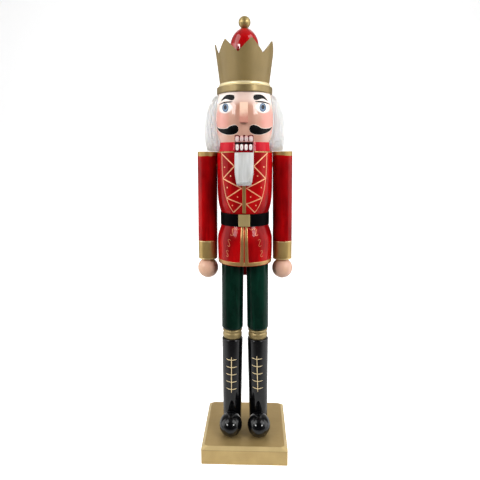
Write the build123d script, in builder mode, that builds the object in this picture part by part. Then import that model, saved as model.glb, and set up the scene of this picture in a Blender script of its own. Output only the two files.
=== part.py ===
from build123d import *
import os
from math import cos, radians, sin

os.makedirs("parts", exist_ok=True)

# A standing wooden nutcracker figure. Millimetres, +Z up, the figure faces -Y.
# The origin is under the centre of its base. Left and right are the figure's own.

# ---------------------------------------------------------------- driving dimensions
# Base board
base_width = 184.0
base_thickness = 39.5
base_chamfer = 6.8
base_corner = 3.0
base_top_corner = 9.0

# Legs: boot, knee band and trouser leg in line, each leg leaning out towards its foot
foot_x = 30.0
hip_x = 26.5
boot_height = 211.0
boot_radius_low = 20.2
boot_radius_high = 23.0
boot_edge = 3.0
knee_height = 21.5
knee_radius = 21.3
knee_groove = 1.5
trouser_height = 153.0
trouser_radius_low = 23.3
trouser_radius_high = 23.6
trouser_edge = 6.0

# Toe caps
toe_x = 31.0
toe_y = -42.0
toe_radius = 25.0
toe_half_length = 30.0
toe_flat = 1.5

# Coat, in a lower and an upper block that meet under the belt
skirt_height = 93.5
hem_inset = 0.6
skirt_bulge = 0.7
skirt_bulge_drop = 46.0
chest_height = 136.5
chest_radius = 57.0
chest_curve_height = 76.0
waist_inset = 7.4
shoulder_edge = 1.0
collar_height = 17.5
collar_inset = 4.5
collar_taper = 2.0

# Belt and buckle
belt_width = 25.0
belt_thickness = 1.5
buckle_width = 23.0
buckle_height = 24.0
buckle_thickness = 2.2
buckle_edge = 0.8

# Arms and hands
arm_gap = 0.6
arm_y = 6.0
arm_lean = 0.6
arm_length = 226.0
arm_radius = 20.4
cuff_length = 40.0
cuff_radius = 20.0
arm_edge = 1.2
hand_radius = 22.0
hand_flat = 1.0

# Jaw lever and the slot that it swings in
jaw_width = 35.5
jaw_height = 19.3
jaw_front = 61.0
jaw_back = 31.0
jaw_edge = 1.0
lever_tail_depth = 22.0
lever_tail_front = 41.0
lever_tail_length = 182.0
lever_tail_edge = 5.0
lever_arm_drop = 20.0
lever_shoulder_rise = 16.0
pivot_drop = 73.0
pivot_diameter = 6.0
pivot_inset = 3.0
pivot_clearance = 0.05
slot_clearance = 0.75
jaw_gap = 0.7
slot_floor_gap = 5.0
slot_back_gap = 5.0
slot_lip_drop = 40.0
slot_lip_depth = 26.0

# Beard
beard_length = 64.5
beard_width_top = 36.0
beard_width_low = 27.0
beard_taper_length = 22.0
beard_thickness = 7.5
beard_chest_gap = 1.6
beard_edge = 2.0

# Head, nose and hair
head_height = 93.5
chin_radius = 50.5
cheek_radius = 58.0
cheek_rise = 45.0
brow_radius = 52.0
nose_width = 15.6
nose_top_drop = 20.5
nose_length = 38.5
nose_top_depth = 3.0
nose_low_depth = 13.5
nose_edge = 1.2
hair_front_angle = -6.0
hair_radius_top = 61.0
hair_radius = 80.5
hair_radius_low = 75.0
hair_full_drop = 74.0
hair_gap = 0.6
hair_collar_gap = 0.8

# Crown
band_radius = 55.8
band_height = 13.5
band_edge = 2.0
ring_radius = 51.2
ring_bulge = 1.8
ring_height = 6.5
shell_radius_low = 49.4
shell_radius_high = 59.0
shell_height = 76.0
shell_wall = 3.0
spigot_height = 4.0
crown_points = 7
crown_point_height = 25.0
crown_point_angle = 14.5
dome_radius_low = 25.5
dome_radius = 28.6
dome_height = 105.0
dome_cap_height = 36.5
dome_flat = 4.0
quarter_oval = 0.55
ball_radius = 11.75
ball_flat = 0.5

# Dowels and screws
screw_diameter = 6.0
screw_head_diameter = 12.0
screw_length = 75.0
screw_recess = 1.0
toe_dowel_diameter = 8.0
toe_dowel_length = 24.0
toe_dowel_rise = 22.0
leg_dowel_diameter = 12.0
leg_dowel_length = 60.0
waist_dowel_diameter = 16.0
waist_dowel_length = 46.0
waist_dowel_y = -6.0
shoulder_dowel_diameter = 10.0
shoulder_dowel_length = 32.0
shoulder_dowel_drop = 27.0
wrist_dowel_diameter = 8.0
wrist_dowel_length = 30.0
head_dowel_diameter = 8.0
head_dowel_length = 36.0
head_dowel_x = 35.0
crown_dowel_diameter = 10.0
crown_dowel_length = 64.0
finial_dowel_diameter = 4.0
finial_dowel_length = 20.0

# ---------------------------------------------------------------- heights and places
boot_top = base_thickness + boot_height
knee_top = boot_top + knee_height
hem_z = knee_top + trouser_height
waist_z = hem_z + skirt_height
belt_low = waist_z - belt_width / 2
belt_high = waist_z + belt_width / 2
shoulder_z = waist_z + chest_height
collar_z = shoulder_z + collar_height
crown_z = collar_z + head_height
band_z = crown_z + band_height
shell_z = band_z + ring_height
dome_z = shell_z + dome_height
pivot_z = shoulder_z - pivot_drop
skirt_radius = chest_radius + skirt_bulge
hem_radius = chest_radius - hem_inset
waist_radius = chest_radius - waist_inset
collar_radius_low = chest_radius - collar_inset
collar_radius_high = collar_radius_low - collar_taper
pivot_length = 2 * (chest_radius - pivot_inset)
arm_reach = chest_radius + arm_gap + arm_radius
arm_x = (arm_reach**2 - arm_y**2) ** 0.5
jaw_top = collar_z - jaw_gap
jaw_low = jaw_top - jaw_height
lever_arm_low = pivot_z - lever_arm_drop
tail_back = lever_tail_front + lever_tail_depth
tail_low = lever_arm_low - lever_tail_length
slot_width = jaw_width + 2 * slot_clearance
slot_floor = lever_arm_low - slot_floor_gap
slot_back = lever_tail_front - slot_back_gap
beard_back = chest_radius + beard_chest_gap
sides = (("left", 1), ("right", -1))


def save(piece, label):
    """Names a finished piece and writes it."""
    piece.label = label
    export_step(piece, f"parts/{label}.step")


def peg(place, diameter, length, mode=Mode.ADD):
    """A round peg along the z direction of a plane, centred there, or the bore for it."""
    with Locations(place):
        Cylinder(diameter / 2, length, mode=mode)


def leg_direction(side):
    """The line that a leg's pieces share, up from its foot."""
    return Vector(side * (hip_x - foot_x), 0, hem_z - base_thickness).normalized()


def leg_plane(side):
    """Upright section plane of a leg: x outwards from its line, y up along it."""
    up = leg_direction(side)
    foot = (side * foot_x, 0, base_thickness)
    return Plane(origin=foot, x_dir=(up.Z, 0, -up.X), z_dir=(0, -1, 0))


def leg_axis(side):
    return Axis((side * foot_x, 0, base_thickness), leg_direction(side))


def along_leg(side, distance):
    """Cross plane of a leg at a distance up from its foot."""
    foot = Vector(side * foot_x, 0, base_thickness)
    up = leg_direction(side)
    return Plane(origin=foot + up * distance, z_dir=up)


def knee_peg(side, mode=Mode.ADD):
    middle = along_leg(side, boot_height + knee_height / 2)
    peg(middle, leg_dowel_diameter, leg_dowel_length, mode)


def hip_peg(side, mode=Mode.ADD):
    peg(Plane((side * hip_x, 0, hem_z)), leg_dowel_diameter, leg_dowel_length, mode)


def toe_peg(side, mode=Mode.ADD):
    place = Plane(
        origin=(side * toe_x, -boot_radius_low, base_thickness + toe_dowel_rise),
        z_dir=(0, 1, 0),
    )
    peg(place, toe_dowel_diameter, toe_dowel_length, mode)


def waist_peg(mode=Mode.ADD):
    peg(Plane((0, waist_dowel_y, waist_z)), waist_dowel_diameter, waist_dowel_length, mode)


def arm_direction(side):
    """The line of an arm, up from its wrist to its shoulder."""
    lean = radians(arm_lean)
    return Vector(-side * sin(lean), 0, cos(lean))


def arm_plane(side):
    """Upright section plane of an arm: x outwards from its line, y up along it from the wrist."""
    up = arm_direction(side)
    wrist = Vector(side * arm_x, arm_y, shoulder_z) - up * arm_length
    return Plane(origin=wrist, x_dir=(up.Z, 0, -up.X), z_dir=(0, -1, 0))


def wrist_plane(side):
    """Cross plane of an arm at its wrist."""
    return Plane(origin=arm_plane(side).origin, z_dir=arm_direction(side))


def shoulder_peg(side, mode=Mode.ADD):
    outward = Vector(side * arm_x, arm_y, 0).normalized()
    origin = outward * chest_radius + Vector(0, 0, shoulder_z - shoulder_dowel_drop)
    place = Plane(origin=origin, z_dir=outward)
    peg(place, shoulder_dowel_diameter, shoulder_dowel_length, mode)


def wrist_peg(side, mode=Mode.ADD):
    peg(wrist_plane(side), wrist_dowel_diameter, wrist_dowel_length, mode)


def head_peg(side, mode=Mode.ADD):
    peg(
        Plane((side * head_dowel_x, 0, collar_z)), head_dowel_diameter, head_dowel_length, mode
    )


def crown_peg(mode=Mode.ADD):
    middle = (crown_z + shell_z) / 2
    peg(Plane((0, 0, middle)), crown_dowel_diameter, crown_dowel_length, mode)


def finial_peg(mode=Mode.ADD):
    peg(Plane((0, 0, dome_z)), finial_dowel_diameter, finial_dowel_length, mode)


def pivot_plane():
    return Plane(origin=(0, 0, pivot_z), z_dir=(1, 0, 0))


# ---------------------------------------------------------------- base and its screws
with BuildPart() as base:
    with BuildSketch():
        RectangleRounded(base_width, base_width, base_corner)
    extrude(amount=base_thickness - base_chamfer)
    with BuildSketch(Plane.XY.offset(base_thickness - base_chamfer)):
        RectangleRounded(base_width, base_width, base_corner)
    with BuildSketch(Plane.XY.offset(base_thickness)):
        top_width = base_width - 2 * base_chamfer
        RectangleRounded(top_width, top_width, base_top_corner)
    loft()
    for name, side in sides:
        with Locations(Plane(origin=(side * foot_x, 0, 0), z_dir=(0, 0, -1))):
            CounterSinkHole(
                screw_diameter / 2, screw_head_diameter / 2 + screw_recess, counter_sink_angle=90
            )
save(base.part, "base")

with BuildPart() as base_screws:
    for name, side in sides:
        head_depth = (screw_head_diameter - screw_diameter) / 2
        with BuildSketch(Plane.XZ.shift_origin((side * foot_x, 0, 0))):
            with BuildLine():
                Polyline(
                    (0, screw_recess),
                    (screw_head_diameter / 2, screw_recess),
                    (screw_diameter / 2, screw_recess + head_depth),
                    (screw_diameter / 2, screw_length),
                    (0, screw_length),
                    close=True,
                )
            make_face()
        revolve(axis=Axis((side * foot_x, 0, 0), (0, 0, 1)))
save(base_screws.part, "base_screws")

# ---------------------------------------------------------------- legs
for name, side in sides:
    with BuildPart() as boot:
        with BuildSketch(leg_plane(side)):
            with BuildLine():
                Polyline(
                    (0, -boot_edge),
                    (boot_radius_low, -boot_edge),
                    (boot_radius_high, boot_height),
                    (0, boot_height),
                    close=True,
                )
            make_face()
        revolve(axis=leg_axis(side))
        fillet(boot.edges().filter_by(GeomType.CIRCLE).sort_by(SortBy.RADIUS)[-1], boot_edge)
        split(bisect_by=Plane.XY.offset(base_thickness), keep=Keep.TOP)
        whole_boot = boot.part
        peg(
            Plane((side * foot_x, 0, screw_length / 2)),
            screw_diameter,
            screw_length,
            Mode.SUBTRACT,
        )
        toe_peg(side, Mode.SUBTRACT)
        knee_peg(side, Mode.SUBTRACT)
    save(boot.part, f"boot_{name}")

    with BuildPart() as toe:
        toe_z = base_thickness + toe_radius - toe_flat
        with BuildSketch(Plane.XY.offset(toe_z)):
            with Locations((side * toe_x, toe_y)):
                Ellipse(toe_radius, toe_half_length)
            with Locations((side * (toe_x - toe_radius), toe_y)):
                Rectangle(2 * toe_radius, 2 * toe_half_length, mode=Mode.SUBTRACT)
        revolve(axis=Axis((side * toe_x, toe_y, toe_z), (0, 1, 0)))
        split(bisect_by=Plane.XY.offset(base_thickness), keep=Keep.TOP)
        add(whole_boot, mode=Mode.SUBTRACT)
        toe_peg(side, Mode.SUBTRACT)
    save(toe.part, f"toe_{name}")

    with BuildPart() as knee_band:
        low = boot_height
        bead_top = low + 0.66 * knee_height
        rim_low = bead_top + knee_groove
        with BuildSketch(leg_plane(side)):
            with BuildLine():
                Polyline((0, low), (0, low + knee_height), (knee_radius - 2, low + knee_height))
                ThreePointArc(
                    (knee_radius - 2, low + knee_height),
                    (knee_radius, (rim_low + low + knee_height) / 2),
                    (knee_radius - 2, rim_low),
                )
                Line((knee_radius - 2, rim_low), (knee_radius - 2, bead_top))
                ThreePointArc(
                    (knee_radius - 2, bead_top),
                    (knee_radius, low + 0.36 * knee_height),
                    (knee_radius - 3, low),
                )
                Line((knee_radius - 3, low), (0, low))
            make_face()
        revolve(axis=leg_axis(side))
        knee_peg(side, Mode.SUBTRACT)
    save(knee_band.part, f"knee_band_{name}")

    with BuildPart() as trouser_leg:
        low = boot_height + knee_height
        high = low + trouser_height + trouser_edge
        with BuildSketch(leg_plane(side)):
            with BuildLine():
                Polyline(
                    (0, low),
                    (trouser_radius_low, low),
                    (trouser_radius_high, high),
                    (0, high),
                    close=True,
                )
            make_face()
        revolve(axis=leg_axis(side))
        low_edge = trouser_leg.edges().filter_by(GeomType.CIRCLE).sort_by(SortBy.RADIUS)[0]
        fillet(low_edge, trouser_edge)
        split(bisect_by=Plane.XY.offset(hem_z), keep=Keep.BOTTOM)
        knee_peg(side, Mode.SUBTRACT)
        hip_peg(side, Mode.SUBTRACT)
    save(trouser_leg.part, f"trouser_leg_{name}")

with BuildPart() as toe_dowels:
    for name, side in sides:
        toe_peg(side)
save(toe_dowels.part, "toe_dowels")

with BuildPart() as knee_dowels:
    for name, side in sides:
        knee_peg(side)
save(knee_dowels.part, "knee_dowels")

with BuildPart() as hip_dowels:
    for name, side in sides:
        hip_peg(side)
save(hip_dowels.part, "hip_dowels")

# ---------------------------------------------------------------- coat
with BuildPart() as skirt:
    bulge_z = waist_z - skirt_bulge_drop
    with BuildSketch(Plane.XZ):
        with BuildLine():
            Polyline((hem_radius, hem_z), (0, hem_z), (0, waist_z), (waist_radius, waist_z))
            Line((waist_radius, waist_z), (waist_radius, belt_low))
            Spline(
                (waist_radius, belt_low),
                (skirt_radius, bulge_z),
                (hem_radius, hem_z),
                tangents=((0.25, -1), (0, -1), (-0.06, -1)),
            )
        make_face()
    revolve(axis=Axis.Z)
    with BuildSketch(Plane.XY.offset(hem_z)):
        with Locations((0, slot_back)):
            Rectangle(slot_width, skirt_radius, align=(Align.CENTER, Align.MIN))
    extrude(amount=skirt_height, mode=Mode.SUBTRACT)
    waist_peg(Mode.SUBTRACT)
    for name, side in sides:
        hip_peg(side, Mode.SUBTRACT)
save(skirt.part, "skirt")

with BuildPart() as chest:
    with BuildSketch(Plane.XZ):
        with BuildLine():
            Polyline((waist_radius, belt_high), (waist_radius, waist_z), (0, waist_z))
            Line((0, waist_z), (0, collar_z))
            Polyline(
                (0, collar_z),
                (collar_radius_high, collar_z),
                (collar_radius_low, shoulder_z),
                (chest_radius, shoulder_z),
                (chest_radius, waist_z + chest_curve_height),
            )
            Spline(
                (chest_radius, waist_z + chest_curve_height),
                (waist_radius, belt_high),
                tangents=((0, -1), (-0.42, -1)),
            )
        make_face()
    revolve(axis=Axis.Z)
    fillet(
        chest.edges().filter_by(GeomType.CIRCLE).group_by(SortBy.RADIUS)[-1].sort_by(Axis.Z)[-1],
        shoulder_edge,
    )
    with BuildSketch(Plane.YZ):
        with BuildLine():
            Polyline(
                (-2 * chest_radius, shoulder_z - slot_lip_drop),
                (-chest_radius - shoulder_edge, shoulder_z - slot_lip_drop),
                (-slot_lip_depth, pivot_z - lever_arm_drop / 2),
                (-slot_lip_depth, slot_floor),
                (slot_back, slot_floor),
                (slot_back, waist_z),
                (2 * chest_radius, waist_z),
                (2 * chest_radius, collar_z),
                (-2 * chest_radius, collar_z),
                close=True,
            )
        make_face()
    extrude(amount=slot_width / 2, both=True, mode=Mode.SUBTRACT)
    # The pin goes in from the left side, so its bore is open there and blind on the right.
    bore_start = -pivot_length / 2
    bore_end = 2 * chest_radius
    bore = Plane(origin=((bore_start + bore_end) / 2, 0, pivot_z), z_dir=(1, 0, 0))
    peg(bore, pivot_diameter, bore_end - bore_start, Mode.SUBTRACT)
    waist_peg(Mode.SUBTRACT)
    for name, side in sides:
        shoulder_peg(side, Mode.SUBTRACT)
        head_peg(side, Mode.SUBTRACT)
save(chest.part, "chest")

with BuildPart() as waist_dowel:
    waist_peg()
save(waist_dowel.part, "waist_dowel")

with BuildPart() as belt:
    with BuildSketch(Plane.XY.offset(belt_low)):
        Circle(waist_radius + belt_thickness)
        Circle(waist_radius, mode=Mode.SUBTRACT)
        Rectangle(
            slot_width,
            2 * waist_radius,
            align=(Align.CENTER, Align.MIN),
            mode=Mode.SUBTRACT,
        )
    extrude(amount=belt_width)
save(belt.part, "belt")

with BuildPart() as buckle:
    buckle_front = waist_radius + belt_thickness + buckle_thickness
    with BuildSketch(Plane.XY.offset(waist_z - buckle_height / 2)):
        with Locations((0, -buckle_front)):
            Rectangle(buckle_width, belt_width / 2, align=(Align.CENTER, Align.MIN))
        Circle(waist_radius + belt_thickness, mode=Mode.SUBTRACT)
    extrude(amount=buckle_height)
    fillet(buckle.faces().sort_by(Axis.Y)[0].edges(), buckle_edge)
save(buckle.part, "buckle")

# ---------------------------------------------------------------- arms and hands
for name, side in sides:
    with BuildPart() as arm:
        with BuildSketch(arm_plane(side)):
            with BuildLine():
                Polyline(
                    (0, 0),
                    (cuff_radius, 0),
                    (arm_radius, cuff_length),
                    (arm_radius, arm_length),
                    (0, arm_length),
                    close=True,
                )
            make_face()
        revolve(axis=Axis(arm_plane(side).origin, arm_direction(side)))
        fillet(arm.faces().filter_by(GeomType.PLANE).edges(), arm_edge)
        shoulder_peg(side, Mode.SUBTRACT)
        wrist_peg(side, Mode.SUBTRACT)
    save(arm.part, f"arm_{name}")

    with BuildPart() as hand:
        with Locations(wrist_plane(side).offset(hand_flat - hand_radius)):
            Sphere(hand_radius)
        split(bisect_by=wrist_plane(side), keep=Keep.BOTTOM)
        wrist_peg(side, Mode.SUBTRACT)
    save(hand.part, f"hand_{name}")

with BuildPart() as shoulder_dowels:
    for name, side in sides:
        shoulder_peg(side)
save(shoulder_dowels.part, "shoulder_dowels")

with BuildPart() as wrist_dowels:
    for name, side in sides:
        wrist_peg(side)
save(wrist_dowels.part, "wrist_dowels")

# ---------------------------------------------------------------- jaw lever, its pin and the beard
with BuildPart() as jaw_lever:
    with BuildSketch(Plane.XY.offset(jaw_low)):
        with BuildLine():
            corner_y = -((jaw_front**2 - (jaw_width / 2) ** 2) ** 0.5)
            ThreePointArc(
                (-jaw_width / 2, corner_y), (0, -jaw_front), (jaw_width / 2, corner_y)
            )
            Polyline(
                (jaw_width / 2, corner_y),
                (jaw_width / 2, -jaw_back),
                (-jaw_width / 2, -jaw_back),
                (-jaw_width / 2, corner_y),
            )
        make_face()
    extrude(amount=jaw_height)
    with BuildSketch(Plane.YZ):
        with BuildLine():
            Polyline(
                (-jaw_front + lever_shoulder_rise, jaw_low),
                (-lever_arm_drop, pivot_z),
                (-lever_arm_drop / 4, lever_arm_low),
                (lever_tail_front, lever_arm_low),
                (lever_tail_front, tail_low),
                (tail_back, tail_low),
                (tail_back, pivot_z + lever_shoulder_rise),
                (lever_arm_drop, pivot_z + lever_arm_drop + lever_shoulder_rise / 2),
                (-jaw_back, jaw_top),
                (-jaw_back, jaw_low),
                close=True,
            )
        make_face()
    extrude(amount=jaw_width / 2, both=True)
    fillet(jaw_lever.faces().sort_by(Axis.Z)[0].edges().filter_by(Axis.X), lever_tail_edge)
    peg(pivot_plane(), pivot_diameter + 2 * pivot_clearance, jaw_width, Mode.SUBTRACT)
save(jaw_lever.part, "jaw_lever")

with BuildPart() as pivot_pin:
    peg(pivot_plane(), pivot_diameter, pivot_length)
save(pivot_pin.part, "pivot_pin")

with BuildPart() as beard:
    with BuildSketch(Plane.XZ.offset(beard_back)):
        with BuildLine():
            Polyline(
                (-beard_width_top / 2, jaw_low),
                (beard_width_top / 2, jaw_low),
                (beard_width_top / 2, jaw_low - beard_length + beard_taper_length),
                (beard_width_low / 2, jaw_low - beard_length),
                (-beard_width_low / 2, jaw_low - beard_length),
                (-beard_width_top / 2, jaw_low - beard_length + beard_taper_length),
                close=True,
            )
        make_face()
    extrude(amount=beard_thickness)
    front = beard.faces().sort_by(Axis.Y)[0]
    fillet(front.edges().sort_by(Axis.Z)[:-1], beard_edge)
save(beard.part, "beard")

# ---------------------------------------------------------------- head, nose and hair
with BuildPart() as head:
    with BuildSketch(Plane.XZ):
        with BuildLine():
            Polyline((chin_radius, collar_z), (0, collar_z), (0, crown_z), (brow_radius, crown_z))
            Spline(
                (brow_radius, crown_z),
                (cheek_radius, collar_z + cheek_rise),
                (chin_radius, collar_z),
                tangents=((0.18, -1), (-0.42, -1)),
            )
        make_face()
    revolve(axis=Axis.Z)
    whole_head = head.part
    crown_peg(Mode.SUBTRACT)
    for name, side in sides:
        head_peg(side, Mode.SUBTRACT)
save(head.part, "head")

with BuildPart() as nose:
    nose_top = crown_z - nose_top_drop
    nose_low = nose_top - nose_length
    with BuildSketch(Plane.YZ):
        with BuildLine():
            Polyline(
                (-chin_radius, nose_top),
                (-cheek_radius - nose_top_depth + 1.5, nose_top),
                (-cheek_radius - nose_low_depth, nose_low + 1.5),
                (-cheek_radius - nose_low_depth + 2, nose_low),
                (-chin_radius, nose_low),
                close=True,
            )
        make_face()
    extrude(amount=nose_width / 2, both=True)
    bridge = nose.faces().filter_by(GeomType.PLANE).sort_by(Axis.Y)[0]
    fillet(bridge.edges().filter_by(Axis.X, reverse=True), nose_edge)
    add(whole_head, mode=Mode.SUBTRACT)
save(nose.part, "nose")

with BuildPart() as hair:
    start = radians(hair_front_angle)
    hair_plane = Plane(
        origin=(0, 0, 0), x_dir=(cos(start), sin(start), 0), z_dir=(sin(start), -cos(start), 0)
    )
    hair_low = shoulder_z + hair_gap
    hair_high = crown_z - hair_gap
    with BuildSketch(hair_plane):
        with BuildLine():
            Polyline(
                (hair_radius_low, hair_low),
                (collar_radius_low + hair_collar_gap, hair_low),
                (collar_radius_low + hair_collar_gap, hair_high - hair_full_drop),
                (brow_radius - hair_collar_gap, hair_high),
                (hair_radius_top, hair_high),
            )
            Spline(
                (hair_radius_top, hair_high),
                (hair_radius, hair_high - hair_full_drop),
                (hair_radius_low, hair_low),
                tangents=((0.7, -1), (-0.3, -1)),
            )
        make_face()
    revolve(axis=Axis.Z, revolution_arc=180 - 2 * hair_front_angle)
    add(whole_head, mode=Mode.SUBTRACT)
save(hair.part, "hair")

with BuildPart() as head_dowels:
    for name, side in sides:
        head_peg(side)
save(head_dowels.part, "head_dowels")

# ---------------------------------------------------------------- crown
with BuildPart() as crown_band:
    spigot_radius = shell_radius_low - shell_wall
    with BuildSketch(Plane.XZ):
        with BuildLine():
            Polyline(
                (0, crown_z),
                (band_radius, crown_z),
                (band_radius, band_z),
                (ring_radius - ring_bulge, band_z),
            )
            ThreePointArc(
                (ring_radius - ring_bulge, band_z),
                (ring_radius, (band_z + shell_z) / 2),
                (ring_radius - ring_bulge, shell_z),
            )
            Polyline(
                (ring_radius - ring_bulge, shell_z),
                (spigot_radius, shell_z),
                (spigot_radius, shell_z + spigot_height),
                (0, shell_z + spigot_height),
                (0, crown_z),
            )
        make_face()
    revolve(axis=Axis.Z)
    rims = crown_band.edges().filter_by(GeomType.CIRCLE).group_by(SortBy.RADIUS)[-1]
    fillet(rims, band_edge)
    crown_peg(Mode.SUBTRACT)
save(crown_band.part, "crown_band")

with BuildPart() as crown_shell:
    tip_z = shell_z + shell_height
    valley_z = tip_z - crown_point_height
    with BuildSketch(Plane.XZ):
        with BuildLine():
            Polyline(
                (shell_radius_low - shell_wall, shell_z),
                (shell_radius_low, shell_z),
                (shell_radius_high, tip_z),
                (shell_radius_high - shell_wall, tip_z),
                (shell_radius_low - shell_wall, shell_z + spigot_height),
                close=True,
            )
        make_face()
    revolve(axis=Axis.Z)
    half_pitch = 180 / crown_points
    half_notch = shell_radius_high * sin(radians(half_pitch))
    for point in range(crown_points):
        turn = radians(crown_point_angle + half_pitch + point * 2 * half_pitch)
        notch = Plane(
            origin=(0, 0, valley_z),
            x_dir=(cos(turn), sin(turn), 0),
            z_dir=(sin(turn), -cos(turn), 0),
        )
        with BuildSketch(notch):
            with BuildLine():
                Polyline(
                    (0, 0),
                    (2 * half_notch, 2 * crown_point_height),
                    (-2 * half_notch, 2 * crown_point_height),
                    close=True,
                )
            make_face()
        extrude(amount=2 * shell_radius_high, mode=Mode.SUBTRACT)
save(crown_shell.part, "crown_shell")

with BuildPart() as crown_dome:
    cap_z = dome_z - dome_cap_height
    dome_low = shell_z + spigot_height
    with BuildSketch(Plane.XZ):
        with BuildLine():
            Polyline((dome_flat, dome_z), (0, dome_z), (0, dome_low), (dome_radius_low, dome_low))
            Spline(
                (dome_radius_low, dome_low),
                (dome_radius, cap_z),
                tangents=((0.1, 1), (0, 1)),
            )
            Bezier(
                (dome_radius, cap_z),
                (dome_radius, cap_z + quarter_oval * dome_cap_height),
                (quarter_oval * dome_radius, dome_z),
                (dome_flat, dome_z),
            )
        make_face()
    revolve(axis=Axis.Z)
    crown_peg(Mode.SUBTRACT)
    finial_peg(Mode.SUBTRACT)
save(crown_dome.part, "crown_dome")

with BuildPart() as crown_dowel:
    crown_peg()
save(crown_dowel.part, "crown_dowel")

with BuildPart() as finial_ball:
    with Locations((0, 0, dome_z + ball_radius - ball_flat)):
        Sphere(ball_radius)
    split(bisect_by=Plane.XY.offset(dome_z), keep=Keep.TOP)
    finial_peg(Mode.SUBTRACT)
save(finial_ball.part, "finial_ball")

with BuildPart() as finial_dowel:
    finial_peg()
save(finial_dowel.part, "finial_dowel")
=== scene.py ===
import math
import random

import bpy
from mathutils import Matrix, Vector
from mathutils.bvhtree import BVHTree


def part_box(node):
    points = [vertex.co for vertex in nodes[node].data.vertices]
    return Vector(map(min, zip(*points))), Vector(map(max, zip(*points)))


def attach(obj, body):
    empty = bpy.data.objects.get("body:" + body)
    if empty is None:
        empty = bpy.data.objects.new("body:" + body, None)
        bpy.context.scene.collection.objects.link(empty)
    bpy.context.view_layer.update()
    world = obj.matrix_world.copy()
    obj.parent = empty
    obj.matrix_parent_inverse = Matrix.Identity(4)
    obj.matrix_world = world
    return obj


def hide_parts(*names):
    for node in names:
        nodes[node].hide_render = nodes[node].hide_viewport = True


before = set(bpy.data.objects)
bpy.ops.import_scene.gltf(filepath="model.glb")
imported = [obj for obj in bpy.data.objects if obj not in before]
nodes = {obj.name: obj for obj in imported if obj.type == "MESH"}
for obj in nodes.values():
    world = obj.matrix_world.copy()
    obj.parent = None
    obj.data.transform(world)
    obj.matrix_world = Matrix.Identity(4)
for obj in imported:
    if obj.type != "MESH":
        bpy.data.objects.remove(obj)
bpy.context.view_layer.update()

# A painted wooden nutcracker figure. Metres, +Z up, the figure faces -Y.
# Lengths in the paint tables are millimetres, with x to the figure's left and z up.

rng = random.Random(24)
MM = 0.001
# The body that a new piece rides on, with a material slot name.
FACE = ("figure", "face_skin")
COAT = ("figure", "coat_red")
SLEEVE = ("figure", "sleeve_red")
BOOT = ("figure", "boot_black")
HAIR = ("figure", "hair_fur")
LEVER = ("jaw", "lever_red")
BEARD = ("jaw", "beard_fur")
SIDES = ((1, "left"), (-1, "right"))


# ---- node building
def tall(share):
    """A stretch that draws noise out upright: the smaller the share, the longer its patches."""
    return (1.0, 1.0, share)


EVEN = tall(1.0)
UPRIGHT = tall(0.08)
SHARP = 0.0003


class Nodes:
    """A node tree under construction. Its methods return output sockets."""

    def __init__(self, tree):
        self.tree = tree

    def node(self, kind):
        return self.tree.nodes.new(kind)

    def feed(self, socket, value):
        """Sets a socket to a number or colour, or links an output to it."""
        if isinstance(value, bpy.types.NodeSocket):
            self.tree.links.new(value, socket)
        else:
            socket.default_value = value

    def math(self, how, a, b=0.0):
        node = self.node("ShaderNodeMath")
        node.operation = how
        self.feed(node.inputs[0], a)
        self.feed(node.inputs[1], b)
        return node.outputs[0]

    def times(self, a, b):
        return self.math("MULTIPLY", a, b)

    def less(self, a, b):
        return self.math("SUBTRACT", a, b)

    def plus(self, a, b):
        return self.math("ADD", a, b)

    def squares(self, a, b):
        return self.plus(self.times(a, a), self.times(b, b))

    def span(self, value, low, high, out_low=0.0, out_high=1.0):
        """value from low to high, spread smoothly over out_low to out_high."""
        node = self.node("ShaderNodeMapRange")
        node.interpolation_type = "SMOOTHSTEP"
        ends = {"From Min": low, "From Max": high, "To Min": out_low, "To Max": out_high}
        for key, end in {"Value": value, **ends}.items():
            self.feed(node.inputs[key], end)
        return node.outputs["Result"]

    def above(self, value, level, soft=SHARP):
        """1 where value is above level, with a soft edge."""
        return self.span(value, level - soft, level + soft)

    def band(self, value, low, high, soft):
        """1 where value is between low and high, with soft edges."""
        fall = self.span(value, high - soft, high + soft, 1.0, 0.0)
        return self.times(self.above(value, low, soft), fall)

    def mix(self, share, a, b):
        """A colour from a to b."""
        node = self.node("ShaderNodeMix")
        node.data_type = "RGBA"
        for socket, value in zip((0, 6, 7), (share, a, b)):
            self.feed(node.inputs[socket], value)
        return node.outputs[2]

    def blend(self, share, a, b):
        """A number from a to b."""
        node = self.node("ShaderNodeMix")
        for socket, value in zip((0, 2, 3), (share, a, b)):
            self.feed(node.inputs[socket], value)
        return node.outputs[0]

    def seen(self):
        """1 where the camera looks straight at the surface, 0 in light and reflections."""
        return self.node("ShaderNodeLightPath").outputs["Is Camera Ray"]


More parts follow.
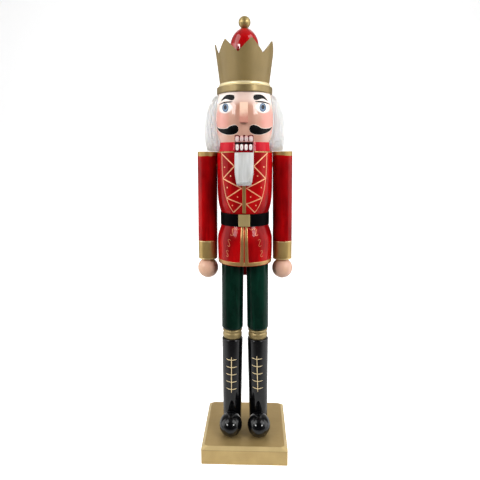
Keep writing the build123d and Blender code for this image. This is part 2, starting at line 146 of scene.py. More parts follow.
class Paint(Nodes):
    """A node material built up in layers over object coordinates."""

    def __init__(self, name, rough=0.3, metallic=0.0, coat=0.0, coat_rough=0.05, specular=0.5,
                 coat_ior=1.3):
        self.material = bpy.data.materials.new(name)
        self.material.use_nodes = True
        super().__init__(self.material.node_tree)
        self.shader = self.tree.nodes["Principled BSDF"]
        sockets = ("Roughness", "Metallic", "Coat Weight", "Coat Roughness", "Specular IOR Level",
                   "Coat IOR")
        for socket, value in zip(sockets, (rough, metallic, coat, coat_rough, specular, coat_ior)):
            self.set(socket, value)
        self.coords = self.node("ShaderNodeTexCoord").outputs["Object"]
        split = self.node("ShaderNodeSeparateXYZ")
        self.feed(split.inputs[0], self.coords)
        self.x, self.y, self.z = split.outputs
        self.top = None
        self.normal = None

    def set(self, socket, value):
        self.feed(self.shader.inputs[socket], value)

    def textured(self, kind, scale, stretch):
        """A texture node with about scale patches a metre."""
        place = self.node("ShaderNodeMapping")
        place.inputs["Scale"].default_value = stretch
        self.feed(place.inputs["Vector"], self.coords)
        node = self.node(kind)
        node.inputs["Scale"].default_value = scale
        self.feed(node.inputs["Vector"], place.outputs[0])
        return node

    def noise(self, scale, stretch=EVEN, detail=4.0, rough=0.55, distort=0.0):
        node = self.textured("ShaderNodeTexNoise", scale, stretch)
        node.inputs["Detail"].default_value = detail
        node.inputs["Roughness"].default_value = rough
        node.inputs["Distortion"].default_value = distort
        return node.outputs["Fac"]

    def cells(self, scale, stretch=EVEN):
        """Cell distance, for flakes and pores."""
        return self.textured("ShaderNodeTexVoronoi", scale, stretch).outputs["Distance"]

    def cloudy(self, scale, low=0.0, high=1.0, stretch=EVEN, detail=4.0):
        """Soft patches that run from low to high."""
        return self.span(self.noise(scale, stretch, detail), 0.3, 0.7, low, high)

    def around(self, x, z, across, up):
        """Distances from a point on each side of the face, as shares of an ellipse's radii."""
        u = self.math("DIVIDE", self.less(self.math("ABSOLUTE", self.x), x * MM), across * MM)
        v = self.math("DIVIDE", self.less(self.z, z * MM), up * MM)
        return u, v

    def base(self, value):
        """The colour laid down first; later layers go over it."""
        self.top = value

    def over(self, share, value):
        """Lays a colour over what is there, where share is 1."""
        self.top = self.mix(share, self.top, value)

    def bump(self, height, strength, distance):
        node = self.node("ShaderNodeBump")
        node.inputs["Strength"].default_value = strength
        node.inputs["Distance"].default_value = distance
        self.feed(node.inputs["Height"], height)
        if self.normal is not None:
            self.feed(node.inputs["Normal"], self.normal)
        self.normal = node.outputs[0]

    def done(self, rough=None, metallic=None, coat=None):
        """The finished material, with any of its shares given as patterns."""
        self.set("Base Color", self.top)
        for socket, value in (("Roughness", rough), ("Metallic", metallic), ("Coat Weight", coat)):
            if value is not None:
                self.set(socket, value)
        if self.normal is not None:
            self.set("Normal", self.normal)
        return self.material


# ---- camera, room and light
CAMERA_PLACE = (0.0246, -0.921, 0.642)
CAMERA_TURN = (math.radians(90.0 - 10.6), 0.004, 0.0374)
CAMERA_LENS = 32.9
SENSOR_WIDTH = 36.0

# The room's brightness: from front to back by y, and less above, by z, of its direction.
ROOM_FRONT = 0.05
ROOM_BACK = 1.0
ROOM_CEILING = 0.35
FRONT_TO_BACK = (-0.85, 0.1)
WALL_TO_CEILING = (0.25, 0.75)

FLOOR_HALF = 6.0
FLOOR_BACK = 2.2
SWEEP_RADIUS = 1.2
SWEEP_STEPS = 24
WALL_HEIGHT = 4.0
FLOOR_FADE = (-0.50, -0.15)
FLOOR_FRONT = (0.16, 0.16, 0.16, 1.0)
FLOOR_WHITE = (0.93, 0.93, 0.93, 1.0)
FLOOR_GLOW = 0.6

# Each side's lights: place on the right, width and height, and power.
AIM = (0.0, 0.0, 0.50)
SIDE_LIGHTS = {
    "window": ((1.15, -1.20, 1.20), (0.50, 0.36), 12.0),
    "high": ((1.15, -0.45, 1.60), (0.90, 1.3), 9.5),
    "panel": ((1.50, 0.05, 0.60), (1.10, 1.7), 8.5),
}
SIDE_STRENGTH = ((-1.0, "left", 1.0), (1.0, "right", 1.15))
BACK_LIGHT = ((0.0, 1.1, 1.9), (1.6, 1.0), 6.0)
BACK_AIM = (0.0, 0.05, 0.2)


def show(thing):
    """Puts an object in the scene."""
    bpy.context.scene.collection.objects.link(thing)
    return thing


def add_camera():
    """The camera, level with the chest and looking a little down at the figure."""
    data = bpy.data.cameras.new("camera")
    data.sensor_width = SENSOR_WIDTH
    data.lens = CAMERA_LENS
    camera = bpy.data.objects.new("camera", data)
    camera.location = CAMERA_PLACE
    camera.rotation_euler = CAMERA_TURN
    show(camera)
    bpy.context.scene.camera = camera


def add_light(name, aim, place, size, power):
    """A soft box at place, facing aim."""
    data = bpy.data.lights.new(name, "AREA")
    data.shape = "RECTANGLE"
    data.size, data.size_y = size
    data.energy = power
    light = bpy.data.objects.new(name, data)
    light.location = place
    light.rotation_euler = (Vector(aim) - Vector(place)).to_track_quat("-Z", "Y").to_euler()
    show(light)


def add_lights():
    """Three soft boxes on each side, a little stronger on the right, and one from behind."""
    for side, name, strength in SIDE_STRENGTH:
        for kind, ((x, y, z), size, power) in SIDE_LIGHTS.items():
            add_light(kind + "_" + name, AIM, (side * x, y, z), size, power * strength)
    add_light("back", BACK_AIM, *BACK_LIGHT)


def add_world():
    """A pale studio room: bright behind the figure and at its sides, with less light from the
    front and the ceiling, so that gloss paint stays deep. Seen directly it is plain and pale."""
    world = bpy.data.worlds.new("room")
    world.use_nodes = True
    bpy.context.scene.world = world
    n = Nodes(world.node_tree)
    n.tree.nodes.clear()
    out = n.node("ShaderNodeOutputWorld")
    background = n.node("ShaderNodeBackground")
    split = n.node("ShaderNodeSeparateXYZ")
    n.feed(split.inputs[0], n.node("ShaderNodeTexCoord").outputs["Generated"])
    depth = n.span(split.outputs["Y"], *FRONT_TO_BACK, ROOM_FRONT, ROOM_BACK)
    ceiling = n.span(split.outputs["Z"], *WALL_TO_CEILING, 1.0, ROOM_CEILING)
    n.feed(background.inputs["Strength"], n.math("MAXIMUM", n.seen(), n.times(depth, ceiling)))
    n.feed(out.inputs["Surface"], background.outputs[0])


def add_floor():
    """A plain floor that rises into a white sweep behind the figure. Its front is darker in
    reflections, but not where the camera sees it."""
    profile = [(-FLOOR_HALF, 0.0)]
    for i in range(SWEEP_STEPS + 1):
        a = 0.5 * math.pi * i / SWEEP_STEPS
        profile.append((FLOOR_BACK - SWEEP_RADIUS + SWEEP_RADIUS * math.sin(a),
                        SWEEP_RADIUS - SWEEP_RADIUS * math.cos(a)))
    profile.append((FLOOR_BACK, WALL_HEIGHT))
    verts = [(x, y, z) for y, z in profile for x in (-FLOOR_HALF, FLOOR_HALF)]
    faces = [(2 * i, 2 * i + 1, 2 * i + 3, 2 * i + 2) for i in range(len(profile) - 1)]
    p = Paint("floor_white", 0.9, specular=0.05)
    p.base(p.mix(p.span(p.y, *FLOOR_FADE), FLOOR_FRONT, FLOOR_WHITE))
    seen = p.seen()
    p.over(seen, FLOOR_WHITE)
    p.set("Emission Strength", p.times(seen, FLOOR_GLOW))
    p.set("Emission Color", (1.0, 1.0, 1.0, 1.0))
    add_mesh("floor", verts, faces, p.done())


def add_mesh(name, verts, faces, material):
    """A smooth mesh object in the scene."""
    mesh = bpy.data.meshes.new(name)
    mesh.from_pydata(verts, [], faces)
    for face in mesh.polygons:
        face.use_smooth = True
    mesh.materials.append(material)
    thing = bpy.data.objects.new(name, mesh)
    return show(thing)


# ---- colours
def colour(r, g, b):
    """A screen colour, 0 to 255, as the linear colour that a shader takes."""
    def linear(v):
        v = v / 255.0
        return v / 12.92 if v <= 0.04045 else ((v + 0.055) / 1.055) ** 2.4
    return (linear(r), linear(g), linear(b), 1.0)


def tones(*three):
    """The low, main and high colours of a paint."""
    return tuple(colour(*c) for c in three)


WHITE = colour(250, 249, 246)
CREAM = colour(236, 234, 224)
RED = tones((120, 2, 6), (184, 5, 10), (205, 16, 18))
COLLAR_RED = colour(214, 22, 48)
LEVER_RED = (RED[0], colour(150, 6, 14), RED[1])
GREEN = tones((2, 22, 14), (6, 44, 32), (16, 66, 50))
BLACK = tones((3, 3, 4), (6, 6, 8), (16, 16, 19))
BOOT_SCUFF = colour(60, 58, 60)
BELT_SCUFF = colour(40, 38, 38)
CRIMSON = tones((72, 0, 14), (112, 2, 26), (150, 8, 34))
GOLD = tones((150, 124, 74), (190, 160, 102), (232, 210, 156))
BOARD_GOLD = tones((160, 134, 84), (194, 168, 114), (228, 208, 158))
# The base board: painted shade on its top, a painted highlight on its bevel, and painted shade in the
# crease under the bevel.
BOARD_TOP_SHADE = colour(146, 120, 76)
BOARD_BEVEL_HIGHLIGHT = colour(222, 202, 152)
BOARD_CREASE_SHADE = colour(112, 90, 54)
BOARD_GRAIN = colour(138, 114, 68)
BAND_GOLD = tones((112, 95, 58), (140, 121, 77), (184, 164, 114))
# Painted highlight for the crown band's ledge and the ring above it.
BAND_LEDGE_HIGHLIGHT = colour(240, 226, 182)
CROWN_GOLD = tones((114, 96, 58), (136, 115, 68), (172, 150, 100))
KNEE_GOLD = tones((126, 109, 68), (158, 138, 93), (212, 190, 142))
BUCKLE_GOLD = (*tones((160, 138, 88), (204, 180, 124)), GOLD[2])
BALL_GOLD = (*tones((132, 112, 66), (170, 148, 94)), GOLD[2])
STRIP_GOLD = (*tones((150, 112, 66), (186, 146, 92)), GOLD[2])
CUFF_LINE_GOLD = (GOLD[1], GOLD[2], colour(250, 236, 196))
LACE_GOLD = tones((206, 182, 134), (238, 216, 168), (254, 242, 210))
COPPER = tones((206, 140, 100), (234, 174, 128), (254, 218, 176))
SCROLL_COPPER = (*tones((168, 78, 44), (204, 118, 76)), COPPER[1])
SKIN = tones((186, 134, 114), (202, 152, 132), (216, 172, 152))
# Pale paint above the eyes, also used as a painted highlight on the face's sides and forehead.
SKIN_PALE_AND_HIGHLIGHT = colour(255, 242, 234)
BLUSH = colour(228, 140, 128)
HAND_SKIN = (*tones((204, 150, 116), (228, 184, 152)), SKIN[2])
# The nose: brown-pink at the tip, partly pink paint and partly painted shade; cream at the bridge, a
# painted highlight.
NOSE_TIP_PINK_SHADE = colour(198, 136, 120)
NOSE_BRIDGE_HIGHLIGHT = colour(244, 208, 184)
IRIS_BLUE = tones((44, 80, 118), (82, 122, 158), (126, 158, 186))
IRIS_EDGE = colour(20, 42, 76)
PUPIL_NAVY = tones((6, 10, 22), (12, 24, 46), (26, 48, 80))
OUTLINE_PALE = (*tones((240, 218, 204), (250, 236, 226)), WHITE)
TOOTH = (*tones((236, 224, 222), (252, 244, 240)), WHITE)
TOOTH_LINE = (*tones((196, 158, 158), (214, 180, 178)), CREAM)
UPPER_TOOTH = tones((244, 234, 232), (244, 190, 184))
BIRCH = tones((206, 172, 124), (232, 204, 162), (158, 120, 78))
STEEL = tones((150, 150, 154), (206, 206, 210))
# Fur: root, tip, and the painted shade between strands.
WIG_FUR = tones((252, 251, 248), (255, 255, 254), (238, 236, 230))
BEARD_FUR = tones((224, 222, 216), (252, 251, 248), (168, 168, 164))


# ---- CAD node materials
LACQUER_COAT = 0.4
LACQUER_SHINE = 0.03
FLESH_COAT = 0.9
FLESH_SHINE = 0.06
WEAR = 0.0025
FLAKES = 2600.0

# Sizes of painted bands and edges on the CAD nodes, in metres.
CUFF_LENGTH = 0.040
CUFF_RADIUS = 0.020
SHOULDER_BAND = 0.0089
GILT_LIMIT = -0.0122
BAND_HEIGHT = 0.0135
COLLAR_HEIGHT = 0.0175
BASE_BEVEL = 0.0068
# Height of the band of painted shade in the crease under the base's bevel.
CREASE_SHADE_BAND = 0.0009

# Paint on the face: the eye's place, its white and its iris, and the blush, in millimetres.
EYE = (36.2, 737.3)
EYE_WHITE = (12.8, 9.8)
IRIS = (6.6, 8.4)
CHEEK = (52.0, 712.0)
CHEEK_SIZE = (24.0, 26.0)
# Level in z above which the face turns paler: pale paint above the eyes with a painted highlight.
BROW_LINE = (0.738, 0.754)


def lacquer_layers(p, paint, strength=0.4, wavy=1.0):
    """Brushed lacquer: upright strokes of deeper and brighter colour over turned wood."""
    deep, main, bright = paint
    strokes = p.noise(90.0, UPRIGHT, 5.0, 0.6, 0.4)
    p.base(p.mix(p.cloudy(22.0, stretch=tall(0.5), detail=3.0), main, deep))
    p.over(p.span(strokes, 0.5, 0.78, 0.0, strength), bright)
    p.over(p.span(strokes, 0.22, 0.42, strength, 0.0), deep)
    p.bump(p.noise(160.0, UPRIGHT, 3.0), 0.035 * wavy, 0.0006)
    p.bump(p.noise(1400.0, detail=2.0), 0.02, 0.0002)


def edge_wear(p, levels, tint, amount=0.5):
    """A little paint rubbed thin within a few millimetres of the levels in z."""
    spots = p.span(p.noise(420.0), 0.50, 0.62)
    for level in levels:
        near = p.band(p.z, level - WEAR * 0.5, level + WEAR * 0.5, WEAR * 0.4)
        p.over(p.times(p.times(near, spots), amount), tint)


def gold_layers(p, paint):
    """Satin metallic paint: brush clouds, fine flake and a soft orange-peel surface."""
    low, main, high = paint
    flake = p.cells(FLAKES)
    p.base(p.mix(p.cloudy(34.0, 0.0, 0.35, tall(0.6)), main, low))
    p.over(p.span(flake, 0.16, 0.02, 0.0, 0.28), high)
    p.over(p.span(p.noise(260.0, tall(0.25), 3.0), 0.55, 0.8, 0.0, 0.14), low)
    p.bump(p.noise(330.0, tall(0.5), 3.0), 0.07, 0.0005)
    p.bump(flake, 0.03, 0.0001)


def edges_of(*names):
    """The lowest and highest level of each CAD node."""
    levels = [corner.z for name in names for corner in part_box(name)]
    return sorted(set(round(v, 5) for v in levels))


def make_gold(name, paint, rough=0.36, metallic=0.85, levels=()):
    p = Paint(name, rough, metallic, coat=0.15, coat_rough=0.2)
    gold_layers(p, paint)
    edge_wear(p, levels, paint[2], 0.6)
    return p.done(rough=p.cloudy(120.0, rough - 0.04, rough + 0.06, tall(0.4)))


def make_lacquer(name, paint, rough, scuff=None, levels=(), coat=LACQUER_COAT, coat_rough=0.05,
                 coat_ior=1.3, wavy=1.0):
    p = Paint(name, rough, 0.0, coat, coat_rough, LACQUER_SHINE, coat_ior)
    lacquer_layers(p, paint, 0.5, wavy)
    edge_wear(p, levels, scuff, 0.7)
    return p.done(rough=p.cloudy(70.0, rough - 0.08, rough + 0.12, tall(0.5)))


def make_coat():
    """Red lacquer with a brighter collar."""
    p = Paint("coat_gloss", 0.32, 0.0, LACQUER_COAT, 0.05, LACQUER_SHINE)
    lacquer_layers(p, RED)
    edge_wear(p, edges_of("skirt", "chest"), RED[2])
    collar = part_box("chest")[1].z - COLLAR_HEIGHT
    p.over(p.span(p.z, collar, collar + 0.0008, 0.0, 0.6), COLLAR_RED)
    return p.done(rough=p.cloudy(70.0, 0.24, 0.44, tall(0.5)))


def make_sleeve():
    """Red sleeve with a gold band round the shoulder, and a gold cuff on its front and outer
    side that stops short of the coat."""
    low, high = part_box("arm_left")
    p = Paint("sleeve", 0.32, 0.0, LACQUER_COAT, 0.06, LACQUER_SHINE)
    lacquer_layers(p, RED)
    level = p.plus(p.z, p.cloudy(60.0, -0.0012, 0.0012, tall(0.2), 2.0))
    shoulder = p.above(level, high.z - SHOULDER_BAND)
    cuff = p.less(1.0, p.above(level, low.z + CUFF_LENGTH))
    across = p.less(p.math("ABSOLUTE", p.x), high.x - CUFF_RADIUS)
    behind = p.less(p.y, (low.y + high.y) / 2)
    outer = p.above(p.less(across, p.times(behind, 0.9)), GILT_LIMIT)
    gilt = p.math("MAXIMUM", shoulder, p.times(cuff, outer))
    leaf = p.mix(p.cloudy(40.0, 0.15, 0.6, tall(0.6)), GOLD[1], GOLD[0])
    leaf = p.mix(p.span(p.cells(FLAKES), 0.16, 0.02, 0.0, 0.3), leaf, GOLD[2])
    p.over(gilt, leaf)
    edge_wear(p, (low.z, high.z), GOLD[2], 0.6)
    rough = p.blend(gilt, p.cloudy(70.0, 0.26, 0.42), 0.34)
    bare = p.span(gilt, 0.0, 1.0, LACQUER_COAT, 0.15)
    return p.done(rough=rough, metallic=p.times(gilt, 0.5), coat=bare)


def flesh(name, paint):
    """Gloss flesh paint, ready for more layers."""
    p = Paint(name, 0.35, 0.0, FLESH_COAT, 0.06, FLESH_SHINE)
    p.base(p.mix(p.cloudy(26.0, stretch=tall(0.6), detail=3.0), paint[1], paint[2]))
    p.over(p.span(p.noise(110.0, UPRIGHT), 0.56, 0.8, 0.0, 0.35), paint[0])
    p.bump(p.noise(140.0, UPRIGHT, 3.0), 0.08, 0.0005)
    p.bump(p.noise(1200.0, detail=2.0), 0.03, 0.0002)
    p.set("Roughness", p.cloudy(60.0, 0.28, 0.44))
    return p


def make_face():
    """Flesh paint, paler at the sides and over the brows, with blush and the whites of the eyes
    airbrushed on the front. The paler sides are a painted highlight; over the brows and forehead
    it is pale paint above the eyes together with a painted highlight."""
    p = flesh("face_paint", SKIN)
    side = p.math("ABSOLUTE", p.x)
    # Painted highlight: the skin turns paler towards the sides of the face.
    p.over(p.span(side, 0.026, 0.050, 0.0, 0.3), SKIN_PALE_AND_HIGHLIGHT)
    sides = p.span(side, 0.006, 0.026, 0.45, 0.95)
    # Over the brows and forehead: pale paint with a painted highlight, stronger at the sides.
    p.over(p.times(p.span(p.z, *BROW_LINE), sides), SKIN_PALE_AND_HIGHLIGHT)
    front = p.span(p.y, 0.006, -0.014)
    away = p.squares(*p.around(*CHEEK, *CHEEK_SIZE))
    ragged = p.plus(away, p.cloudy(90.0, -0.18, 0.18))
    p.over(p.times(p.span(ragged, 1.4, 0.1, 0.0, 0.62), front), BLUSH)
    away = p.squares(*p.around(*EYE, *EYE_WHITE))
    p.over(p.times(p.span(away, 1.5, 0.6), front), WHITE)
    return p.done()


def make_nose():
    """Flesh paint, cream at the bridge as a painted highlight, and brown-pink towards the tip,
    there partly pink paint and partly painted shade.
    """
    low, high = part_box("nose")
    p = Paint("nose_paint", 0.3, 0.0, FLESH_COAT, 0.06, FLESH_SHINE)
    along = p.plus(p.z, p.cloudy(80.0, -0.003, 0.003))
    # From pink paint with painted shade at the tip up to a painted highlight at the bridge.
    p.base(p.mix(p.span(along, low.z + 0.008, high.z - 0.008), NOSE_TIP_PINK_SHADE, NOSE_BRIDGE_HIGHLIGHT))
    p.over(p.span(p.noise(160.0, UPRIGHT), 0.55, 0.8, 0.0, 0.3), SKIN[0])
    p.bump(p.noise(140.0, UPRIGHT, 3.0), 0.08, 0.0005)
    return p.done(rough=p.cloudy(60.0, 0.24, 0.4))


def make_base():
    """Gold board: painted shade on the top, a painted highlight on the bevel with a band of
    painted shade in the crease under it, and faint grain.
    """
    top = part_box("base")[1].z
    p = Paint("base_paint", 0.42, 0.45, 0.2, 0.25, 0.2)
    gold_layers(p, BOARD_GOLD)
    grain = p.noise(150.0, (0.06, 1.0, 1.0), 5.0, 0.6, 0.3)
    p.over(p.span(grain, 0.5, 0.75, 0.0, 0.12), BOARD_GRAIN)
    p.bump(grain, 0.06, 0.0006)
    # Painted shade: the top face is darker than the front, which gets more light.
    p.over(p.span(p.z, top - 0.0004, top - 0.0002, 0.0, 0.5), BOARD_TOP_SHADE)
    bevel = top - BASE_BEVEL
    # Painted highlight along the bevel.
    p.over(p.times(p.band(p.z, bevel, top - 0.0005, 0.0004), 0.3), BOARD_BEVEL_HIGHLIGHT)
    # Painted shade in the crease under the bevel.
    p.over(p.times(p.band(p.z, bevel - CREASE_SHADE_BAND, bevel, 0.0004), 0.55), BOARD_CREASE_SHADE)
    return p.done(rough=p.cloudy(45.0, 0.38, 0.48))


def make_crown_band():
    """Gold band under a paler ring, with a bright ledge between them. The pale paint over the
    ledge and the ring above it is a painted highlight.
    """
    p = Paint("crown_band_gilt", 0.42, 0.5, 0.1, 0.2)
    gold_layers(p, BAND_GOLD)
    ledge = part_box("crown_band")[0].z + BAND_HEIGHT
    # Painted highlight from the ledge upward, over the ring.
    p.over(p.times(p.span(p.z, ledge - 0.0012, ledge - 0.0002), 0.9), BAND_LEDGE_HIGHLIGHT)
    return p.done(rough=p.cloudy(120.0, 0.38, 0.48, tall(0.4)))


def make_belt():
    """Black vinyl strap with a fine grain."""
    p = Paint("belt_vinyl", 0.45, 0.0, 0.0, 0.25, 0.02)
    grain = p.cells(900.0, tall(1.4))
    p.base(p.mix(p.span(p.noise(60.0, tall(2.0)), 0.35, 0.7), BLACK[0], BLACK[1]))
    p.over(p.span(grain, 0.5, 0.9, 0.0, 0.12), BLACK[2])
    p.bump(grain, 0.25, 0.0003)
    edge_wear(p, edges_of("belt"), BELT_SCUFF)
    return p.done(rough=p.span(grain, 0.1, 0.8, 0.38, 0.55))


def make_wood():
    """Bare birch dowel."""
    p = Paint("birch", 0.6)
    grain = p.noise(300.0, UPRIGHT, 5.0, 0.6, 0.3)
    p.base(p.mix(p.span(grain, 0.35, 0.65), BIRCH[0], BIRCH[1]))
    p.over(p.span(p.noise(1200.0, tall(0.1)), 0.6, 0.75, 0.0, 0.4), BIRCH[2])
    p.bump(grain, 0.2, 0.0003)
    return p.done(rough=p.span(grain, 0.3, 0.7, 0.5, 0.7))


def make_steel():
    """Plated steel with fine turning marks."""
    p = Paint("plated_steel", 0.28, 1.0)
    marks = p.noise(1800.0, tall(0.2), 3.0)
    p.base(p.mix(marks, *STEEL))
    p.bump(marks, 0.1, 0.0001)
    return p.done(rough=p.span(marks, 0.3, 0.7, 0.2, 0.38))


def dress_nodes():
    """A material for every CAD node."""
    coat = make_coat()
    looks = {
        "base": make_base(),
        "belt": make_belt(),
        "buckle": make_gold("buckle_gilt", BUCKLE_GOLD, 0.42, 0.6),
        "skirt": coat,
        "chest": coat,
        "jaw_lever": make_lacquer("lever_gloss", LEVER_RED, 0.32, RED[2], edges_of("jaw_lever")),
        "head": make_face(),
        "nose": make_nose(),
        "crown_band": make_crown_band(),
        "crown_shell": make_gold("crown_gilt", CROWN_GOLD, 0.55, 0.25, edges_of("crown_shell")),
        "crown_dome": make_lacquer("dome_gloss", RED, 0.3, coat=1.0, coat_ior=1.5, wavy=0.2),
        "finial_ball": make_gold("ball_gilt", BALL_GOLD, 0.38, 0.6),
    }
    boots = make_lacquer("boot_gloss", BLACK, 0.25, BOOT_SCUFF, edges_of("boot_left"), 0.7, 0.03, 1.5)
    pairs = {
        "boot_": boots,
        "toe_": boots,
        "knee_band_": make_gold("knee_gilt", KNEE_GOLD, 0.42, 0.6, edges_of("knee_band_left")),
        "trouser_leg_": make_lacquer("trouser_gloss", GREEN, 0.28, GREEN[2],
                                     edges_of("trouser_leg_left")),
        "arm_": make_sleeve(),
        "hand_": flesh("hand_paint", HAND_SKIN).done(),
    }
    for side, name in SIDES:
        for kind, material in pairs.items():
            looks[kind + name] = material
    looks["base_screws"] = looks["pivot_pin"] = make_steel()
    wood = make_wood()
    for name in nodes:
        materials = nodes[name].data.materials
        materials.clear()
        materials.append(looks.get(name, wood))


# ---- raised paint
def surface(*names):
    """A search tree over CAD nodes, for laying paint on them."""
    verts, faces = [], []
    for name in names:
        mesh = nodes[name].data
        first = len(verts)
        verts += [v.co.copy() for v in mesh.vertices]
        faces += [[first + i for i in p.vertices] for p in mesh.polygons]
    return BVHTree.FromPolygons(verts, faces)


def seen_from_front(tree, x, z):
    """The point and outward normal on the front of a surface, at x and z in millimetres."""
    hit = tree.ray_cast(Vector((x * MM, -0.3, z * MM)), Vector((0.0, 1.0, 0.0)))
    if hit[0] is None:
        hit = tree.find_nearest(Vector((x * MM, -0.06, z * MM)))
    normal = hit[1] if hit[1].y < 0 else -hit[1]
    return hit[0], normal


def pressed(tree, point, toward):
    """The nearest point of a surface, with its normal on the side of toward."""
    hit = tree.find_nearest(point)
    normal = hit[1] if hit[1].dot(toward) > 0 else -hit[1]
    return hit[0], normal


def resample(points, step):
    """A smooth run through the points, each a tuple, with samples about step apart."""
    padded_ends = [points[0], *points, points[-1]]
    out = []
    for i in range(1, len(padded_ends) - 2):
        a, b, c, d = (Vector(p) for p in padded_ends[i - 1:i + 3])
        count = max(2, int((c - b).length / step))
        for k in range(count):
            t = k / count
            out.append(0.5 * (2 * b + (c - a) * t + (2 * a - 5 * b + 4 * c - d) * t * t
                              + (3 * b - a - 3 * c + d) * t ** 3))
    out.append(Vector(points[-1]))
    return out


class Shape:
    """Closed raised patches collected into one mesh."""

    def __init__(self):
        self.verts = []
        self.faces = []

    def patch(self, rows, heights, sink, round_rows=False):
        """A closed solid over a grid of (point, normal) rows, heights above the surface.
        round_rows joins each row's ends, for a disc whose first row is its centre."""
        first = len(self.verts)
        across = len(rows[0])
        for lift in (1, 0):
            for row, high in zip(rows, heights):
                for (point, normal), h in zip(row, high):
                    self.verts.append(point + normal * (h if lift else -sink))
        under = len(rows) * across
        wrap = across if round_rows else across - 1

        def at(i, j, low=0):
            return first + low * under + i * across + j % across

        for i in range(len(rows) - 1):
            for j in range(wrap):
                self.faces.append((at(i, j), at(i + 1, j), at(i + 1, j + 1), at(i, j + 1)))
                self.faces.append((at(i, j, 1), at(i, j + 1, 1), at(i + 1, j + 1, 1), at(i + 1, j, 1)))
        last = len(rows) - 1
        if round_rows:
            for j in range(across):
                self.faces.append((at(last, j), at(last, j, 1), at(last, j + 1, 1), at(last, j + 1)))
            self.faces.append(tuple(at(0, j) for j in range(across)))
            self.faces.append(tuple(at(0, j, 1) for j in reversed(range(across))))
            return
        for i in range(last):
            self.faces.append((at(i, 0), at(i, 0, 1), at(i + 1, 0, 1), at(i + 1, 0)))
            self.faces.append((at(i, wrap), at(i + 1, wrap), at(i + 1, wrap, 1), at(i, wrap, 1)))
        for j in range(wrap):
            self.faces.append((at(0, j), at(0, j + 1), at(0, j + 1, 1), at(0, j, 1)))
            self.faces.append((at(last, j), at(last, j, 1), at(last, j + 1, 1), at(last, j + 1)))

    def make(self, name, material, body, slot):
        """The piece, riding on a CAD body. slot is not used."""
        piece = add_mesh(name, [tuple(v) for v in self.verts], self.faces, material)
        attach(piece, body)
        return piece


ACROSS = (-1.0, -0.82, -0.45, 0.0, 0.45, 0.82, 1.0)
RINGS = (0.02, 0.35, 0.65, 0.86, 0.96, 1.0)
SINK = 0.25 * MM
EDGE_SINK = 0.02 * MM
THIN_LINE = 0.6


def film(share, lift, flatness=4):
    """Height of a paint film at share of the way from its middle to its edge."""
    return lift * MM * math.sqrt(max(0.0, 1.0 - share ** flatness)) - EDGE_SINK


def stroke(shape, tree, points, lift=0.35, step=1.2, flat=False, surface_points=False):
    """A brush line through (x, z, half width) points on the front of a surface.
    flat keeps the width as seen from the front; surface_points takes (x, y, z, half width)."""
    run = resample(points, step)
    if surface_points:
        centres = [pressed(tree, Vector(p[:3]) * MM, Vector((p[0], p[1], 0.0))) for p in run]
    else:
        centres = [seen_from_front(tree, p[0], p[1]) for p in run]
    rows, heights = [], []
    for i, (centre, normal) in enumerate(centres):
        width = run[i][-1]
        row = []
        if flat:
            a, b = run[max(i - 1, 0)], run[min(i + 1, len(run) - 1)]
            side = Vector((b[1] - a[1], a[0] - b[0])).normalized()
            for share in ACROSS:
                x = run[i][0] + side[0] * width * share
                z = run[i][1] + side[1] * width * share
                row.append(seen_from_front(tree, x, z))
        else:
            before = centres[max(i - 1, 0)][0]
            after = centres[min(i + 1, len(centres) - 1)][0]
            side = (after - before).normalized().cross(normal).normalized()
            for share in ACROSS:
                row.append(pressed(tree, centre + side * width * MM * share, normal))
        rows.append(row)
        thin = min(1.0, width / THIN_LINE)
        heights.append([film(abs(share), lift * thin) for share in ACROSS])
    shape.patch(rows, heights, SINK)


def rounded(points, cap=0.9):
    """The same line with blunt round ends: extra points close to each end, narrowing."""
    def end(tip, inner):
        wide = tip[-1]
        gap = max(math.dist(tip[:-1], inner[:-1]), 0.001)
        for far, share in ((0.0, 0.15), (0.35, 0.75), (cap, 1.0)):
            t = min(0.45, wide * far / gap)
            yield (*(a + (b - a) * t for a, b in zip(tip[:-1], inner)), wide * share)
    last = [*end(points[-1], points[-2])]
    return [*end(points[0], points[1]), *points[1:-1], *reversed(last)]


def spot(shape, tree, x, z, across, up, lift=0.35, square=2.0, turn=0.0, segments=28, flatness=4):
    """A raised ellipse on the front of a surface; a square above 2 makes it a rounded box."""
    rows, heights = [], []
    for share in RINGS:
        row = []
        for k in range(segments):
            a = 2.0 * math.pi * k / segments
            c, s = math.cos(a), math.sin(a)
            u = across * share * math.copysign(abs(c) ** (2.0 / square), c)
            v = up * share * math.copysign(abs(s) ** (2.0 / square), s)
            px = x + u * math.cos(turn) - v * math.sin(turn)
            pz = z + u * math.sin(turn) + v * math.cos(turn)
            row.append(seen_from_front(tree, px, pz))
        rows.append(row)
        heights.append([film(share, lift, flatness)] * segments)
    shape.patch(rows, heights, SINK, round_rows=True)


def on_side(points, side):
    """The points as they are for side 1, the figure's left, or mirrored for side -1."""
    return [(side * p[0], *p[1:]) for p in points]


